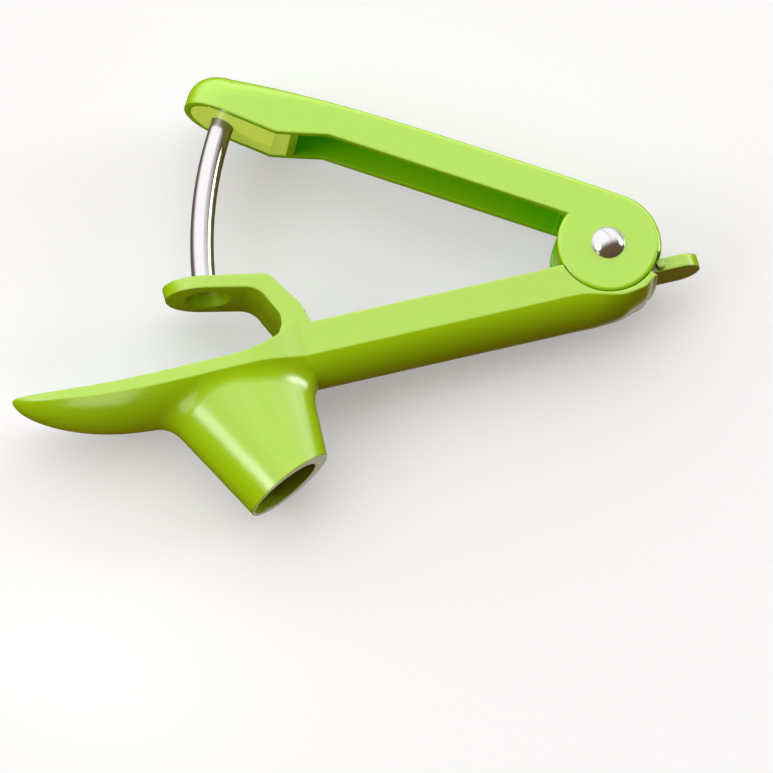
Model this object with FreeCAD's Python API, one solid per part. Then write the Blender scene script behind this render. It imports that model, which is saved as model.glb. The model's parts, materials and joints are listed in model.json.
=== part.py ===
import FreeCAD, Part
import math
import os

V = FreeCAD.Vector

# Hand cherry pitter, modelled about its pivot: X along the lower handle, Y up, Z across the width.
# All sizes are millimetres and degrees.

# Handles and hub
half_width = 10.0
wall = 2.0
web = 2.2
lift = 32.5
travel = 24.0
cheek_radius = 13.6
cheek_inner = 6.3
wrap_radius = 14.5
wrap_end = -24.0
knuckle_radius = 12.4
knuckle_half = 6.0
run_gap = 0.3
edge_round = 1.6

# Upper handle, measured from the pivot along the handle (u) and away from the lower handle (v)
rod_arc = 108.0
head_length = rod_arc + 11.2
nose_u = head_length - half_width
heel_u = rod_arc - 14.5
rib_u = heel_u - 5.9
channel_end = rib_u - 7.6
head_top = 12.7
crown = 14.6
nose_round = 6.8
cheek_round = 0.9
head_base = 0.5
head_slope = 2.0
rib_v = 2.1
channel_v = 4.4
rib_width = 1.9
head_wall = 1.8
skirt = -6.0
beyond = 30.0

# Plunger rod, a bar bent to an arc of radius rod_arc about the pivot
rod_radius = 3.15
tip_angle = 8.4
rod_head_radius = 4.8
rod_head_height = 1.6
rod_seat_v = 6.4
rod_fit = 0.05
dimple_radius = 4.0
dimple_depth = 1.4
head_rib_half = 0.8

# Retainer that closes the head
retainer_gap = 0.08
retainer_rise = 0.9
retainer_wall = 1.6
retainer_floor = 3.2
ridge_height = 0.9
ridge_fade = 8.0
ridge_end = 5.0

# Lower handle section
beam_top = -3.5
side_bottom = -12.2
beam_bottom = -18.9
lip_angle = -49.0
cradle_sweep = 57.0
cradle_radius = 14.6
lip_swell = 1.3
cradle_bottom = 16.6
cradle_drop = 2.9
beam_root = 16.0
beam_end = -12.0
plane_off = 0.1
beam_hollow_left = 29.0 - rod_arc
beam_hollow_right = -18.0

# The front end's X sizes are measured from the plunger's path, minus toward the guard's tip.
# Guide arm over the cup
arm_tip = -10.0
arm_root = 24.7
arm_base = -10.0
arm_crest = 17.8
arm_thick = 3.2
guide_angle = 7.6
guide_bore = 3.5
guide_flare = 6.6

# Splash guard
guard_tip = -57.0
guard_centre = -4.0
guard_half = 14.5
guard_rim = -8.9
guard_curl = 5.0
guard_depth = 10.8
guard_band = 3.5
guard_taper = -18.0
guard_wall = 2.0
guard_neck = 8.0
guard_root = 24.0
root_rise = 4.0
root_lift = 1.4

# Pitting cup and its discharge nozzle
nozzle_angle = 23.7
nozzle_radius = 12.6
outlet_radius = 9.9
outlet_shift = 1.9
cup_top = -12.0
cup_left = -22.0
cup_right = 22.0
cup_half = 13.3
cup_fillet = 8.0
seat_top = -9.0
seat_left = -18.0
seat_right = 15.8
seat_half = 12.3
floor_angle = 12.2
floor_thick = 2.2
stone_hole = 5.2
hole_flare = 2.5

# Pivot rivet
shank_radius = 2.5
shank_inset = 0.5
rivet_fit = 0.05
rivet_gap = 0.1
head_radius = 4.5
head_height = 2.0
spigot_radius = 1.6
spigot_length = 4.0

# Torsion spring, its legs leaving the coil as tangents in the two directions
wire_radius = 0.6
coil_radius = 4.3
coil_pitch = 1.35
full_turns = 2
spring_pocket = 5.6
fixed_way = 180.0
fixed_leg = 22.0
moving_way = 130.5
moving_leg = 9.0
peg_radius = 1.1
peg_reach = 6.9
peg_gap = 0.1

# Lock slide
slide_travel = 4.0
slide_top = -6.3
slide_thick = 3.5
slide_half = 5.7
slide_end = 24.0
slide_hook = 1.5
hook_left = 5.7
hook_long = 2.0
bar_radius = 1.2
bar_x = 12.8
bar_half = 7.3


def polar(radius, degrees, z=0.0):
    angle = math.radians(degrees)
    return V(radius * math.cos(angle), radius * math.sin(angle), z)


def outline(start, steps):
    """Closed wire in the XY plane: each step is a line end, or a point passed and an arc end."""
    edges = []
    here = V(start[0], start[1], 0)
    for step in steps:
        if isinstance(step[0], tuple):
            through = V(step[0][0], step[0][1], 0)
            there = V(step[1][0], step[1][1], 0)
            edges.append(Part.Arc(here, through, there).toShape())
        else:
            there = V(step[0], step[1], 0)
            edges.append(Part.makeLine(here, there))
        here = there
    edges.append(Part.makeLine(here, edges[0].valueAt(edges[0].FirstParameter)))
    return Part.Wire(edges)


def slab(wire, low, high):
    face = Part.Face(wire)
    face.translate(V(0, 0, low))
    return face.extrude(V(0, 0, high - low))


def disc(radius, low, high, x=0.0, y=0.0):
    return Part.makeCylinder(radius, high - low, V(x, y, low), V(0, 0, 1))


def block(x0, x1, y0, y1, half):
    return Part.makeBox(x1 - x0, y1 - y0, 2 * half, V(x0, y0, -half))


def both_sides(shape):
    return shape.fuse(shape.mirror(V(0, 0, 0), V(0, 0, 1)))


def turn(shape, degrees):
    moved = shape.copy()
    moved.rotate(V(0, 0, 0), V(0, 0, 1), degrees)
    return moved


def arc_point(degrees, radius=rod_arc):
    """Point on the plunger's path, the angle counted up from the -X axis."""
    return polar(radius, 180.0 - degrees)


def arc_down(degrees):
    """Direction the plunger travels at that point while the handles close."""
    angle = math.radians(degrees)
    return V(-math.sin(angle), -math.cos(angle), 0)


# Upper handle, built level and then turned up by lift

def top_height(u):
    """Height of the gently crowned back of the handle."""
    share = u / nose_u
    bow = crown - (wrap_radius + head_top) / 2.0
    return wrap_radius + (head_top - wrap_radius) * share + 4.0 * bow * share * (1.0 - share)


def corner_size(u):
    """Rounding of the back's long edges, wider over the nose."""
    share = max(0.0, (u / nose_u - 0.64) / 0.36)
    return edge_round + (nose_round - edge_round) * share ** 2


def base_height(u):
    """Underside of the head between the nose and the heel."""
    return head_base + head_slope * (u - heel_u) / (head_length - heel_u)


def rounded_section(top, low, corner, half=half_width):
    """Cross-section in the YZ plane with both top corners rounded."""
    bend = corner * math.sqrt(0.5)
    a = V(0, low, half)
    b = V(0, top - corner, half)
    c = V(0, top, half - corner)
    d = V(0, top, corner - half)
    e = V(0, top - corner, -half)
    f = V(0, low, -half)
    first = Part.Arc(b, V(0, top - corner + bend, half - corner + bend), c).toShape()
    second = Part.Arc(d, V(0, top - corner + bend, corner - half - bend), e).toShape()
    return Part.Wire([Part.makeLine(a, b), first, Part.makeLine(c, d), second,
                      Part.makeLine(e, f), Part.makeLine(f, a)])


def nose_cap(length, top, corner, half):
    """Half-round end of the head, turned about an upright axis."""
    bend = corner * math.sqrt(0.5)
    face = Part.Face(Part.Wire([
        Part.makeLine(V(0, skirt, 0), V(half, skirt, 0)),
        Part.makeLine(V(half, skirt, 0), V(half, top - corner, 0)),
        Part.Arc(V(half, top - corner, 0), V(half - corner + bend, top - corner + bend, 0),
                 V(half - corner, top, 0)).toShape(),
        Part.makeLine(V(half - corner, top, 0), V(0, top, 0)),
        Part.makeLine(V(0, top, 0), V(0, skirt, 0)),
    ]))
    cap = face.revolve(V(0, 0, 0), V(0, 1, 0), 360)
    cap.translate(V(half - length, 0, 0))
    return cap


def handle_back():
    """Solid under the handle's back, from the hub to the start of the nose."""
    wires = []
    for share in (0.0, 0.23, 0.46, 0.64, 0.78, 1.0):
        u = nose_u * share
        wire = rounded_section(top_height(u), skirt, corner_size(u))
        wire.translate(V(-u, 0, 0))
        wires.append(wire)
    return Part.makeLoft(wires, True, False)


def underside():
    """Everything below the handle's lower edge, to be cut away."""
    end = head_length + beyond
    return slab(outline((-end, base_height(end)), [
        (-heel_u, head_base),
        (-rib_u, rib_v),
        (-channel_end, channel_v),
        (1.0, channel_v),
        (1.0, -beyond),
        (-end, -beyond),
    ]), -beyond, beyond)


def turned_plate(radius, corner, start, sweep):
    """Full-width plate about the pivot with its rim corners rounded."""
    face = Part.Face(rounded_section(radius, 0.0, corner))
    face.rotate(V(0, 0, 0), V(0, 0, 1), start - 90.0)
    return face.revolve(V(0, 0, 0), V(0, 0, 1), sweep)


def lock_slot(turned):
    """Blind notches inside the cheeks for the lock slide's cross bar, with the handle so far turned."""
    height = slide_top - slide_thick / 2.0
    radius = bar_radius + run_gap
    inner = bar_x - slide_travel
    half = bar_half + run_gap
    slot = disc(radius, -half, half, inner, height)
    slot = slot.fuse(block(inner, 2.0 * wrap_radius, height - radius, height + radius, half))
    return turn(slot, lift - turned)


def spring_peg():
    """Peg on the near cheek that the spring's moving leg presses on."""
    offset = coil_radius + wire_radius + peg_gap + peg_radius
    place = polar(offset, moving_way - 90.0) + polar(peg_reach, moving_way)
    low = moving_leg_height() - wire_radius - run_gap
    return turn(disc(peg_radius, low, cheek_inner + 1.0, place.x, place.y), lift)


def make_upper_handle():
    body = handle_back().fuse(nose_cap(head_length, head_top, nose_round, half_width))
    body = body.cut(underside())
    first = wrap_end + lift
    body = body.fuse(turned_plate(wrap_radius, edge_round, first, 90.0 - first))
    body = body.fuse(turned_plate(cheek_radius, cheek_round, 0.0, 360.0))
    body = body.cut(disc(knuckle_radius + run_gap, -cheek_inner, cheek_inner))
    wrap_foot = polar(2.0 * beyond, first)
    below_wrap = outline((-beyond, wrap_radius - web), [
        (-3.5, wrap_radius - web),
        (0.0, 0.0),
        (wrap_foot.x, wrap_foot.y),
        (wrap_foot.x, -beyond),
        (-beyond, -beyond),
    ])
    fork = slab(below_wrap, -cheek_inner, cheek_inner)
    body = body.cut(fork.common(disc(wrap_radius + 1.5 * wall, -cheek_inner, cheek_inner)))
    body = body.cut(handle_channel())
    body = body.cut(head_pocket(0.0))
    body = body.fuse(head_ribs())
    body = body.fuse(spring_peg())
    body = body.cut(disc(shank_radius + rivet_fit, -beyond, beyond))
    body = body.cut(lock_slot(0.0)).cut(lock_slot(travel))
    return turn(body.removeSplitter(), -lift)


def handle_channel():
    near = cheek_radius + 1.2
    middle = (near + rib_u) / 2.0
    roof = outline((-near, skirt), [
        (-near, top_height(near) - web),
        ((-middle, top_height(middle) - web), (-rib_u, top_height(rib_u) - web)),
        (-rib_u, skirt),
    ])
    return slab(roof, -(half_width - wall), half_width - wall)


def head_pocket(inset):
    """Space inside the head that the rod retainer fills."""
    half = half_width - head_wall - inset
    roof = head_top - web
    cap = nose_cap(head_length - head_wall - inset, roof, nose_round - 1.0, half)
    right = -(rib_u + rib_width + inset)
    straight = block(-nose_u, right, skirt, roof, half)
    return cap.fuse(straight)


def rod_seat_angle():
    return math.degrees(math.asin(rod_seat_v / rod_arc))


def head_ribs():
    """Cross of ribs under the roof that keeps the rod head down."""
    seat = arc_point(rod_seat_angle())
    low = rod_seat_v + rod_head_height + run_gap
    high = head_top - web
    along = block(-(head_length - head_wall), -(rib_u + rib_width), low, high, head_rib_half)
    across = block(seat.x - head_rib_half, seat.x + head_rib_half, low, high, half_width - head_wall)
    return along.fuse(across)


def retainer_ridge():
    """Shallow ridge under the retainer, from the heel to the rod."""
    half = half_width - head_wall - run_gap
    wires = []
    fade = rod_arc - ridge_fade
    for u, height in ((heel_u, ridge_height), (fade, ridge_height), (rod_arc + ridge_end, 0.02)):
        base = base_height(u)
        wires.append(Part.makePolygon([V(-u, base, half), V(-u, base - height, 0), V(-u, base, -half),
                                       V(-u, base + 1.0, 0), V(-u, base, half)]))
    return Part.makeLoft(wires, True, True)


def make_rod_retainer():
    seat = arc_point(rod_seat_angle())
    down = arc_down(rod_seat_angle())
    plug = head_pocket(retainer_gap)
    plug = plug.common(block(-head_length, 0.0, skirt, rod_seat_v + retainer_rise, half_width))
    plug = plug.cut(underside()).fuse(retainer_ridge())
    bore = Part.makeCylinder(rod_radius + rod_fit, beyond, seat - down * beyond / 2.0, down)
    head_space = Part.makeCylinder(rod_head_radius + 2.0 * rod_fit, beyond, seat - down * beyond, down)
    left = seat.x + rod_head_radius + retainer_wall
    right = -(rib_u + rib_width + retainer_wall)
    hollow = block(left, right, retainer_floor, head_top, half_width - head_wall - retainer_wall)
    return turn(plug.cut(bore).cut(head_space).cut(hollow), -lift)


def make_plunger_rod():
    top = rod_seat_angle() + lift
    circle = Part.Face(Part.Wire(Part.makeCircle(rod_radius, V(-rod_arc, 0, 0), V(0, 1, 0))))
    circle.rotate(V(0, 0, 0), V(0, 0, 1), -top)
    rod = circle.revolve(V(0, 0, 0), V(0, 0, 1), top - tip_angle)
    down = arc_down(top)
    head = Part.makeCylinder(rod_head_radius, rod_head_height, arc_point(top) - down * rod_head_height, down)
    tip = arc_point(tip_angle) + arc_down(tip_angle) * (dimple_radius - dimple_depth)
    return rod.fuse(head).cut(Part.makeSphere(dimple_radius, tip)).removeSplitter()


# Lower handle

def section(x, half, top, corner, bottom):
    """Cross-section at x: flat top, straight sides and an arched underside."""
    a = V(x, top, half)
    b = V(x, corner, half)
    c = V(x, bottom, 0)
    d = V(x, corner, -half)
    e = V(x, top, -half)
    return Part.Wire([
        Part.makeLine(a, b),
        Part.Arc(b, c, d).toShape(),
        Part.makeLine(d, e),
        Part.makeLine(e, a),
    ])


def hub_section(degrees, corner, bottom):
    """The same section in a plane through the pivot axis."""
    wire = section(0.0, half_width + plane_off, -8.0, -corner, -bottom)
    wire.rotate(V(0, 0, 0), V(0, 0, 1), degrees + 90.0)
    return wire


def make_beam():
    """Beam and the cradle that curls round the hub to the rear lip, planed flat on both sides."""
    wires = []
    spans = 10
    first = beam_root - rod_arc
    for index in range(spans + 1):
        x = first + (beam_end - first) * index / spans
        wires.append(section(x, half_width + plane_off, beam_top, side_bottom, beam_bottom))
    stations = 6
    for index in range(stations):
        share = 1.0 - index / (stations - 1.0)
        degrees = lip_angle - cradle_sweep * share
        corner = cradle_radius + lip_swell * (1.0 - share)
        wires.append(hub_section(degrees, corner, cradle_bottom + cradle_drop * share ** 2))
    beam = Part.makeLoft(wires, True, False, False, 3)
    waste = Part.makeBox(2.0 * rod_arc, 2.0 * rod_arc, wall, V(-1.5 * rod_arc, -rod_arc, half_width))
    return beam.cut(both_sides(waste))


def front(shape):
    """Moves what was drawn from the plunger's path into place before the pivot."""
    shape.translate(V(-rod_arc, 0, 0))
    return shape


def guard_share(x):
    """0 over the cup, growing to 1 at the guard's tip."""
    return max(0.0, (guard_taper - x) / (guard_taper - guard_tip))


def guard_width(x, inset):
    """Half width: widest at guard_centre, rounded to the tip and necked to the beam."""
    if x > guard_neck:
        share = (x - guard_neck) / (guard_root - guard_neck)
        narrow = half_width - 0.4
        return narrow + (guard_half - narrow) * (1.0 - share * share * (3.0 - 2.0 * share))
    reach = max(0.0, guard_centre - x) / (guard_centre - guard_tip - inset)
    return (guard_half - inset) * math.sqrt(1.0 - reach ** 2)


def guard_section(x, inset, raised):
    share = guard_share(x)
    span = (guard_taper - guard_tip - inset) / (guard_taper - guard_tip)
    depth = (guard_depth - inset) * math.sqrt(1.0 - min(1.0, share / span) ** 2)
    band = guard_band * depth / (guard_depth - inset)
    depth -= root_lift * max(0.0, (x - guard_centre) / (guard_root - guard_centre)) ** 2
    rim = guard_rim + guard_curl * share ** 2
    fairing = root_rise * max(0.0, (x - 1.0) / (guard_root - guard_neck - 1.0)) ** 2
    return section(x, guard_width(x, inset), rim + fairing + raised, rim - band, rim - depth)


def guard_stations(inset):
    """Places along the guard, closer together toward the tip."""
    reach = guard_centre - guard_tip - inset
    turns = (86.0, 76.0, 64.0, 50.0, 34.0, 15.0)
    return [guard_centre - reach * math.sin(math.radians(angle)) for angle in turns]


def make_guard():
    places = guard_stations(0.0) + [guard_centre, guard_neck, 14.0, 20.0, guard_root]
    return front(Part.makeLoft([guard_section(x, 0.0, 0.0) for x in places], True, False))


def make_guard_hollow():
    places = guard_stations(guard_wall) + [guard_centre]
    return front(Part.makeLoft([guard_section(x, guard_wall, 3.0) for x in places], True, False))


def ring(left, right, half):
    """Ellipse across the tool, through two points of the middle plane."""
    middle = (left + right) * 0.5
    return Part.Wire(Part.Ellipse(right, middle + V(0, 0, -half), middle).toShape())


def oval(x0, x1, half, y):
    """Level ellipse at height y, its ends measured from the plunger's path."""
    return ring(V(x0 - rod_arc, y, 0), V(x1 - rod_arc, y, 0), half)


def nozzle_circle(radius, shift, beyond):
    centre = arc_point(-nozzle_angle, rod_arc + shift) + arc_down(-nozzle_angle) * beyond
    return Part.Wire(Part.makeCircle(radius, centre, arc_down(-nozzle_angle)))


def make_cup():
    mouth = oval(cup_left, cup_right, cup_half, cup_top)
    return Part.makeLoft([mouth, nozzle_circle(nozzle_radius, 0.0, 0.0)], True, False)


def touches(solid, point):
    return solid.Shells[0].distToShape(Part.Vertex(point))[0] < 0.001


def make_guard_and_cup():
    """Guard with the cup under it, their joint filleted all round."""
    guard = make_guard()
    cup = make_cup()
    both = guard.fuse(cup)
    seam = []
    for edge in both.Edges:
        middle = edge.valueAt((edge.FirstParameter + edge.LastParameter) / 2.0)
        if middle.y < cup_top and touches(guard, middle) and touches(cup, middle):
            seam.append(edge)
    return both.makeFillet(cup_fillet, seam)


def cup_floor():
    """Plate across the cup, square to the rod's path, with a dished hole that lets only the stone through."""
    top = arc_point(-floor_angle)
    down = arc_down(-floor_angle)
    plate = Part.makeCylinder(2.0 * cup_half, floor_thick, top, down)
    hole = Part.makeCylinder(stone_hole, 3.0 * floor_thick, top - down * floor_thick, down)
    dish = Part.makeCone(stone_hole + hole_flare, stone_hole, 0.6 * floor_thick, top, down)
    return plate.cut(hole).cut(dish)


def make_cup_hollow():
    mouth = oval(seat_left, seat_right, seat_half, seat_top)
    taper = Part.makeLoft([mouth, nozzle_circle(outlet_radius, outlet_shift, 1.0)], True, False)
    hollow = taper.fuse(Part.Face(mouth).extrude(V(0, 0.5 - seat_top, 0)))
    return hollow.cut(cup_floor())


def make_arm():
    """C-shaped guide arm and the faired root that joins it to the cup."""
    end = arm_tip - 1.0
    arm = outline((arm_root, arm_base), [
        (arm_root, -3.5),
        (23.0, 2.6),
        (17.8, 11.0),
        ((16.8, 12.2), (15.2, 12.8)),
        (end, arm_crest),
        (end, arm_crest - arm_thick),
        (10.6, 9.9),
        ((13.4, 8.2), (15.1, 5.3)),
        (17.1, 0.9),
        ((16.4, -3.2), (12.6, -6.2)),
        (guard_neck, -7.8),
        (1.0, guard_rim),
        (1.0, arm_base),
    ])
    body = slab(arm, -half_width, half_width)
    plan = Part.Face(outline((beyond, -half_width), [
        (beyond, half_width),
        (0.0, half_width),
        ((arm_tip, 0.0), (0.0, -half_width)),
    ]))
    plan.rotate(V(0, 0, 0), V(1, 0, 0), 90)
    plan.translate(V(0, beyond, 0))
    return front(body.common(plan.extrude(V(0, -2.0 * beyond, 0))))


def guide_hole():
    """Straight bore that guides the rod, flared out below."""
    point = arc_point(guide_angle)
    down = arc_down(guide_angle)
    bore = Part.makeCylinder(guide_bore, 12, point - down * 6, down)
    flare = Part.makeCone(guide_bore, guide_flare, 3.4, point - down * 0.6, down)
    return bore.fuse(flare)


def lock_way():
    """Slot in the knuckle for the lock slide, with a deeper pocket for its hook."""
    low = slide_top - slide_thick - run_gap
    high = slide_top + run_gap
    left = hook_left - slide_travel - run_gap
    half = knuckle_half + run_gap
    slot = block(left, beyond, low, high, half)
    pocket = block(left, hook_left + hook_long + run_gap, low - slide_hook, high, half)
    return slot.fuse(pocket)


def coil_sweep():
    """Degrees the wire turns between its two legs."""
    return 360.0 * full_turns + (moving_way - fixed_way - 180.0) % 360.0


def coil_height():
    return coil_pitch * coil_sweep() / 360.0


def moving_leg_height():
    return knuckle_half - run_gap - wire_radius


def spring_space():
    """Pocket for the coil, open to the near cheek, with a groove for each leg."""
    floor = moving_leg_height() - coil_height() - wire_radius - run_gap
    over = knuckle_half + 1.0
    pocket = disc(spring_pocket, floor, over)
    room = wire_radius + run_gap
    groove = Part.makeBox(beyond, 2.0 * room, over - floor, V(-beyond, -coil_radius - room, floor))
    first = polar(beyond, moving_way - 90.0)
    last = polar(beyond, moving_way + travel)
    window = slab(outline((0.0, 0.0), [(first.x, first.y), (last.x, last.y)]),
                  moving_leg_height() - wire_radius - 2.0 * run_gap, over)
    return pocket.fuse([groove, window])


def make_lower_handle():
    cheeks = disc(cheek_radius + run_gap, knuckle_half, half_width + wall)
    body = make_beam().cut(both_sides(cheeks))
    body = body.fuse(disc(knuckle_radius, -knuckle_half, knuckle_half))
    trough = section(beam_hollow_left, half_width - wall, wall, side_bottom + 0.4, beam_bottom + wall)
    body = body.cut(Part.Face(trough).extrude(V(beam_hollow_right - beam_hollow_left, 0, 0)))
    body = body.fuse(make_guard_and_cup())
    body = body.fuse(make_arm())
    body = body.cut(make_guard_hollow())
    body = body.cut(make_cup_hollow())
    body = body.cut(guide_hole())
    body = body.cut(disc(shank_radius, -beyond, beyond))
    body = body.cut(lock_way())
    body = body.cut(spring_space())
    return body.removeSplitter()


# Pivot, spring and lock

def dome(radius, height, z, way):
    """Rivet head standing on the plane z, facing way."""
    curve = (radius * radius + height * height) / (2.0 * height)
    ball = Part.makeSphere(curve, V(0, 0, z + way * (height - curve)))
    return ball.common(disc(radius, min(z, z + way * height), max(z, z + way * height)))


def make_pivot_pin():
    seat = half_width + rivet_gap
    foot = shank_inset - half_width
    pin = disc(shank_radius, foot, seat).fuse(dome(head_radius, head_height, seat, 1))
    return pin.cut(disc(spigot_radius, -half_width, foot + spigot_length)).removeSplitter()


def make_rivet_cap():
    seat = half_width + rivet_gap
    cap = dome(head_radius, head_height, -seat, -1)
    return cap.fuse(disc(spigot_radius, -seat, -half_width + spigot_length)).removeSplitter()


def spring_leg(start, along, length):
    leg = Part.makeCylinder(wire_radius, length, start, along)
    joint = Part.makeSphere(wire_radius, start)
    end = Part.makeSphere(wire_radius, start + along * length)
    return leg.fuse([joint, end])


def make_torsion_spring():
    """Coil round the pivot, one leg held in the beam and the other behind the lever's peg."""
    low = moving_leg_height() - coil_height()
    helix = Part.makeHelix(coil_pitch, coil_height(), coil_radius)
    ring = Part.Wire(Part.makeCircle(wire_radius, V(coil_radius, 0, 0), V(0, 1, 0)))
    coil = Part.Wire(helix).makePipeShell([ring], True, True)
    coil.translate(V(0, 0, low))
    coil = turn(coil, fixed_way + 90.0)
    fixed = spring_leg(polar(coil_radius, fixed_way + 90.0, low), polar(1.0, fixed_way), fixed_leg)
    start = polar(coil_radius, moving_way - 90.0, moving_leg_height())
    moving = spring_leg(start, polar(1.0, moving_way), moving_leg)
    return coil.fuse([fixed, moving])


def make_lock_slide():
    low = slide_top - slide_thick
    shoulder = slide_end - slide_half - 0.6
    plate = Part.Face(outline((hook_left, -slide_half), [
        (shoulder, -slide_half),
        ((slide_end, 0.0), (shoulder, slide_half)),
        (hook_left, slide_half),
    ]))
    plate.rotate(V(0, 0, 0), V(1, 0, 0), 90)
    plate.translate(V(0, slide_top, 0))
    body = plate.extrude(V(0, -slide_thick, 0))
    hook = block(hook_left, hook_left + hook_long, low - slide_hook + run_gap, slide_top, slide_half)
    bar = disc(bar_radius, -bar_half, bar_half, bar_x, slide_top - slide_thick / 2.0)
    return body.fuse([hook, bar]).removeSplitter()


def frame_shift(shapes):
    """Move that brings the bottom centre of the whole tool to the origin."""
    points = []
    for shape in shapes:
        points += shape.tessellate(0.05)[0]
    x_sizes = [point.x for point in points]
    y_sizes = [point.y for point in points]
    z_sizes = [point.z for point in points]
    return V(-(min(x_sizes) + max(x_sizes)) / 2.0, -(min(y_sizes) + max(y_sizes)) / 2.0, -min(z_sizes))


def main():
    os.makedirs("parts", exist_ok=True)
    shapes = {
        "lower_handle": make_lower_handle(),
        "upper_handle": make_upper_handle(),
        "rod_retainer": make_rod_retainer(),
        "plunger_rod": make_plunger_rod(),
        "pivot_pin": make_pivot_pin(),
        "rivet_cap": make_rivet_cap(),
        "torsion_spring": make_torsion_spring(),
        "lock_slide": make_lock_slide(),
    }
    shift = frame_shift(shapes.values())
    for name, shape in shapes.items():
        print(name, shape.isValid(), len(shape.Solids), round(shape.Volume, 1))
        shape.translate(shift)
        shape.exportStep("parts/" + name + ".step")
    print("pivot axis stands at", round(shift.x, 3), round(shift.y, 3), "and mid-plane at", round(shift.z, 3))


main()
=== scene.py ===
import json

import bpy
from mathutils import Matrix, Vector

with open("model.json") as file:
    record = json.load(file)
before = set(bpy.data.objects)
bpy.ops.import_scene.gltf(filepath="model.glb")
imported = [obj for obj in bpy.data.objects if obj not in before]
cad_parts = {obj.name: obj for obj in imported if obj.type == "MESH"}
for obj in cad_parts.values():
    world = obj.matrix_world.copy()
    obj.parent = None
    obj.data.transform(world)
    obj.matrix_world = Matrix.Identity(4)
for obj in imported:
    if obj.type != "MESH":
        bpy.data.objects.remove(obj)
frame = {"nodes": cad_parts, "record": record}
nodes = frame["nodes"]
record = frame["record"]

# The handles' pivot, in metres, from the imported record
pivot = Vector(record["behaviour"]["joints"][0]["pos_m"])

# Camera, placed from the pivot and turned as in the photograph
camera_offset = Vector((-0.6228, -0.9781, 3.1013))
camera_forward = Vector((0.1689, 0.2902, -0.9419))
camera_up = Vector((0.2169, 0.9213, 0.3227))
focal_pixels = 12364.0
picture_pixels = 773
film_width = 36.0
sight_end = 20.0
picture_samples = 160
noise_seed = 3

# Moulded plastic: its gloss, and the light that enters its walls
plastic_index = 1.7
plastic_roughness = 0.22
coat_share = 0.5
entering_share = 0.12
entering_reach = 0.002
entering_colours = (0.9, 1.0, 0.25)

# Rounded edges of the mouldings
edge_radius = 0.0008
edge_samples = 6

# Painted shade in hollows: the base colour turns to the shade colour as openness falls through
# this range
hollow_reach = 0.03
hollow_samples = 4
hollow_range = (0.32, 0.42)

# Slight waves in the moulded faces
wave_scale = 60.0
wave_detail = 1.0
wave_strength = 0.04
wave_height = 0.0005

steel_metallic = 0.88

floor_size = 4.0
floor_drop = 0.0002
floor_colour = (0.56, 0.56, 0.58)
floor_glow = (0.33, 0.33, 0.33)
floor_roughness = 0.7

# Soft light from above and from the viewer's side: (direction, start, end) of both fades
sky_fades = (
    (Vector((-0.2, 1.0, 0.0)), -0.25, 0.35),
    (Vector((-0.05, 0.6, 0.8)), 0.05, 0.65),
)
sky_colour = (1.84, 1.85, 1.84)
room_colour = (0.13, 0.07, 0.006)

# Soft places that the cone and the nozzle's end mirror: (direction, start, end, level)
patches = (
    (Vector((0.87, 0.35, 0.34)), 0.93, 0.985, 1.0),
    (Vector((0.35, -0.05, -0.935)), 0.98, 0.997, 0.32),
)

# Two windows that the round surfaces mirror: (direction, start, end, added light)
windows = (
    (Vector((-0.80, -0.05, 0.58)), 0.95, 0.99, 1.6),
    (Vector((0.96, 0.05, 0.28)), 0.965, 0.99, 2.8),
)

# A narrow upright bar of shade, given by the direction across it
bar_across = Vector((0.916, 0.0, -0.40))
bar_width = 0.07
bar_shade = -0.5

# Fill lamp: its place and the point it looks at, both from the pivot
fill_offset = Vector((-0.17, -0.08, 0.06))
fill_aim = Vector((-0.11, 0.02, 0.0))
fill_size = 0.06
fill_power = 0.018
fill_colour = (1.0, 1.0, 0.8)


def combine(tree, operation, first, second):
    node = tree.nodes.new("ShaderNodeMath")
    node.operation = operation
    tree.links.new(first, node.inputs[0])
    tree.links.new(second, node.inputs[1])
    return node.outputs["Value"]


def scaled(tree, value, factor, offset):
    """Value times a plain factor, plus the output in offset."""
    node = tree.nodes.new("ShaderNodeMath")
    node.operation = "MULTIPLY_ADD"
    node.inputs[1].default_value = factor
    tree.links.new(value, node.inputs[0])
    tree.links.new(offset, node.inputs[2])
    return node.outputs["Value"]


def mix(tree, first, second):
    """Mix of two plain colours, whose factor is still to be linked."""
    node = tree.nodes.new("ShaderNodeMix")
    node.data_type = "RGBA"
    node.inputs["A"].default_value = (*first, 1.0)
    node.inputs["B"].default_value = (*second, 1.0)
    return node


def fade(tree, place, direction, start, end, full=1.0):
    """Smooth step from 0 to full by how far the looked-at place lies in a direction."""
    facing = tree.nodes.new("ShaderNodeVectorMath")
    facing.operation = "DOT_PRODUCT"
    facing.inputs[1].default_value = direction.normalized()
    step = tree.nodes.new("ShaderNodeMapRange")
    step.interpolation_type = "SMOOTHSTEP"
    step.inputs["From Min"].default_value = start
    step.inputs["From Max"].default_value = end
    step.inputs["To Max"].default_value = full
    tree.links.new(place, facing.inputs[0])
    tree.links.new(facing.outputs["Value"], step.inputs["Value"])
    return step.outputs["Result"]


def new_material(name, base, roughness, metallic=0.0):
    """A material and its shader with the plain sockets set."""
    material = bpy.data.materials.new(name)
    material.use_nodes = True
    shader = material.node_tree.nodes["Principled BSDF"]
    shader.inputs["Base Color"].default_value = (*base, 1.0)
    shader.inputs["Roughness"].default_value = roughness
    shader.inputs["Metallic"].default_value = metallic
    return material, shader


def glow_to_camera(tree, shader, glow):
    """A glow that the camera sees and that lights nothing."""
    shader.inputs["Emission Color"].default_value = (*glow, 1.0)
    path = tree.nodes.new("ShaderNodeLightPath")
    tree.links.new(path.outputs["Is Camera Ray"], shader.inputs["Emission Strength"])


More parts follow.
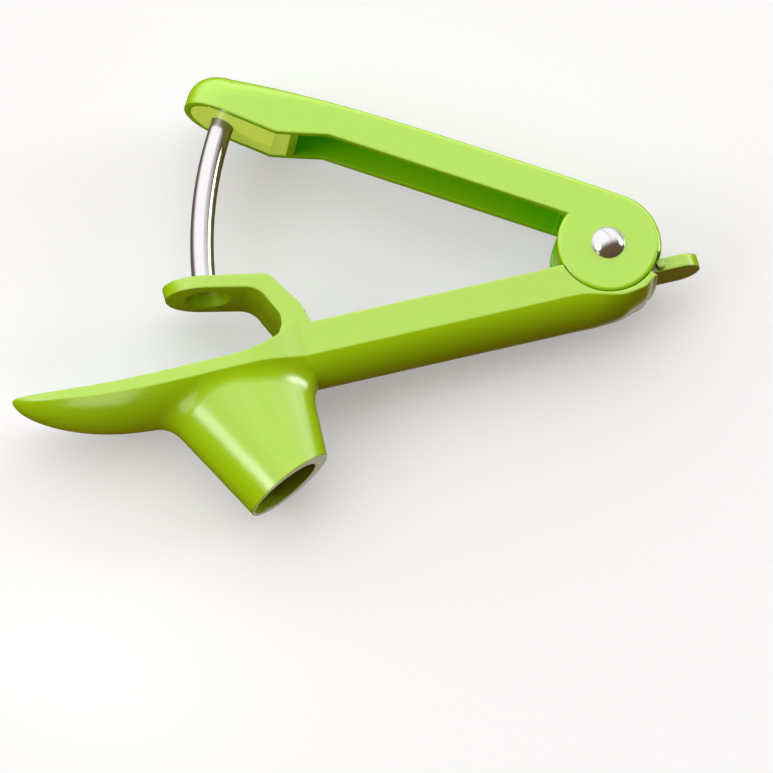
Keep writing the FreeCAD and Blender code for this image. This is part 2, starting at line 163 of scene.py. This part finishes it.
def paint_shade_in_hollows(tree, shader, base, painted_shade):
    """Painted shade: base colour that turns to the painted shade colour where the surface is
    closed in.
    """
    openness = tree.nodes.new("ShaderNodeAmbientOcclusion")
    openness.samples = hollow_samples
    openness.inputs["Distance"].default_value = hollow_reach
    shade = tree.nodes.new("ShaderNodeMapRange")
    shade.inputs["From Min"].default_value = hollow_range[0]
    shade.inputs["From Max"].default_value = hollow_range[1]
    shade_mix = mix(tree, painted_shade, base)
    tree.links.new(openness.outputs["AO"], shade.inputs["Value"])
    tree.links.new(shade.outputs["Result"], shade_mix.inputs["Factor"])
    tree.links.new(shade_mix.outputs["Result"], shader.inputs["Base Color"])


def mould_surface(tree, shader):
    """Normals of a moulding: rounded over sharp edges and slightly wavy."""
    rounding = tree.nodes.new("ShaderNodeBevel")
    rounding.samples = edge_samples
    rounding.inputs["Radius"].default_value = edge_radius
    waves = tree.nodes.new("ShaderNodeTexNoise")
    waves.inputs["Scale"].default_value = wave_scale
    waves.inputs["Detail"].default_value = wave_detail
    bump = tree.nodes.new("ShaderNodeBump")
    bump.inputs["Strength"].default_value = wave_strength
    bump.inputs["Distance"].default_value = wave_height
    tree.links.new(waves.outputs["Fac"], bump.inputs["Height"])
    tree.links.new(rounding.outputs["Normal"], bump.inputs["Normal"])
    tree.links.new(bump.outputs["Normal"], shader.inputs["Normal"])


def plastic(name, base, painted_shade, glow, roughness=plastic_roughness):
    """Glossy moulded plastic with painted shade in its hollows; glow is painted light, seen only
    by the camera, that stands in for the light that comes through its walls.
    """
    material, shader = new_material(name, base, roughness)
    shader.inputs["IOR"].default_value = plastic_index
    shader.inputs["Coat Weight"].default_value = coat_share
    shader.inputs["Coat Roughness"].default_value = roughness
    shader.inputs["Subsurface Weight"].default_value = entering_share
    shader.inputs["Subsurface Radius"].default_value = entering_colours
    shader.inputs["Subsurface Scale"].default_value = entering_reach
    glow_to_camera(material.node_tree, shader, glow)
    paint_shade_in_hollows(material.node_tree, shader, base, painted_shade)
    mould_surface(material.node_tree, shader)
    return material


def steel(name, base, roughness):
    return new_material(name, base, roughness, steel_metallic)[0]


def paint(piece, material):
    piece.data.materials.clear()
    piece.data.materials.append(material)


def dress():
    # Both handles are one green plastic; the two copies differ in painted light and shade: the
    # lower one has near-black painted shade in hollows, the upper one a greener painted shade
    # and a green painted glow.
    lower = plastic(
        "lower green plastic, darker painted shade",
        base=(0.36, 0.625, 0.004), painted_shade=(0.03, 0.035, 0.0), glow=(0.012, 0.005, 0.0),
    )
    upper = plastic(
        "upper green plastic, greener painted light",
        base=(0.37, 0.60, 0.004), painted_shade=(0.15, 0.50, 0.0), glow=(0.0, 0.075, 0.0),
    )
    # The rod retainer's own olive colour; its glow is painted light, and its shade colour equals
    # its base, so it takes no painted shade.
    olive = plastic(
        "olive plastic with painted glow",
        base=(0.50, 0.58, 0.06), painted_shade=(0.50, 0.58, 0.06), glow=(0.27, 0.38, 0.05), roughness=0.4,
    )
    bright = steel("polished steel", base=(0.54, 0.525, 0.54), roughness=0.14)
    spring = steel("spring steel", base=(0.55, 0.55, 0.55), roughness=0.3)
    looks = {
        "lower_handle": lower,
        "upper_handle": upper,
        "lock_slide": lower,
        "rod_retainer": olive,
        "plunger_rod": bright,
        "pivot_pin": bright,
        "rivet_cap": bright,
        "torsion_spring": spring,
    }
    for name, material in looks.items():
        paint(nodes[name], material)


def sky_light():
    """A wide soft light fading to a dim warm room, with patches, windows and a bar of shade."""
    world = bpy.data.worlds.new("world")
    bpy.context.scene.world = world
    world.use_nodes = True
    tree = world.node_tree
    place = tree.nodes.new("ShaderNodeTexCoord").outputs["Generated"]
    above, ahead = [fade(tree, place, *values) for values in sky_fades]
    share = combine(tree, "MULTIPLY", above, ahead)
    for values in patches:
        share = combine(tree, "MAXIMUM", share, fade(tree, place, *values))
    strength = tree.nodes.new("ShaderNodeValue").outputs["Value"]
    strength.default_value = 1.0
    for direction, start, end, light in windows:
        seen = fade(tree, place, direction, start, end)
        share = combine(tree, "MAXIMUM", share, seen)
        strength = scaled(tree, seen, light, strength)
    one_side = fade(tree, place, bar_across, -bar_width, 0.0)
    other_side = fade(tree, place, -bar_across, -bar_width, 0.0)
    bar = combine(tree, "MULTIPLY", one_side, other_side)
    strength = scaled(tree, bar, bar_shade, strength)
    sky = mix(tree, room_colour, sky_colour)
    background = tree.nodes["Background"]
    tree.links.new(share, sky.inputs["Factor"])
    tree.links.new(sky.outputs["Result"], background.inputs["Color"])
    tree.links.new(strength, background.inputs["Strength"])


def fill_light():
    """Small soft light low on the left, as from a pale table."""
    data = bpy.data.lights.new("fill", "AREA")
    data.size = fill_size
    data.energy = fill_power
    data.color = fill_colour
    lamp = bpy.data.objects.new("fill", data)
    lamp.location = pivot + fill_offset
    way = pivot + fill_aim - lamp.location
    lamp.rotation_euler = way.to_track_quat("-Z", "Y").to_euler()
    bpy.context.scene.collection.objects.link(lamp)


def studio():
    """Pale floor, seen by the camera and left out of the object's own light and gloss."""
    material, shader = new_material("floor", floor_colour, floor_roughness)
    glow_to_camera(material.node_tree, shader, floor_glow)
    bpy.ops.mesh.primitive_plane_add(size=floor_size, location=(0.0, 0.0, -floor_drop))
    floor = bpy.context.object
    floor.name = "floor"
    floor.visible_diffuse = False
    floor.visible_glossy = False
    paint(floor, material)
    sky_light()
    fill_light()


def add_camera():
    data = bpy.data.cameras.new("camera")
    data.sensor_width = film_width
    data.lens = focal_pixels * film_width / picture_pixels
    data.clip_end = sight_end
    camera = bpy.data.objects.new("camera", data)
    right = camera_forward.cross(camera_up).normalized()
    back = -camera_forward.normalized()
    turn = Matrix((right, back.cross(right), back)).transposed()
    camera.matrix_world = Matrix.Translation(pivot + camera_offset) @ turn.to_4x4()
    bpy.context.scene.collection.objects.link(camera)
    bpy.context.scene.camera = camera


def settings():
    scene = bpy.context.scene
    scene.render.engine = "CYCLES"
    scene.render.resolution_x = picture_pixels
    scene.render.resolution_y = picture_pixels
    scene.cycles.samples = picture_samples
    scene.cycles.seed = noise_seed
    scene.view_settings.view_transform = "Standard"


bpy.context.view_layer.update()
dress()
studio()
add_camera()
settings()
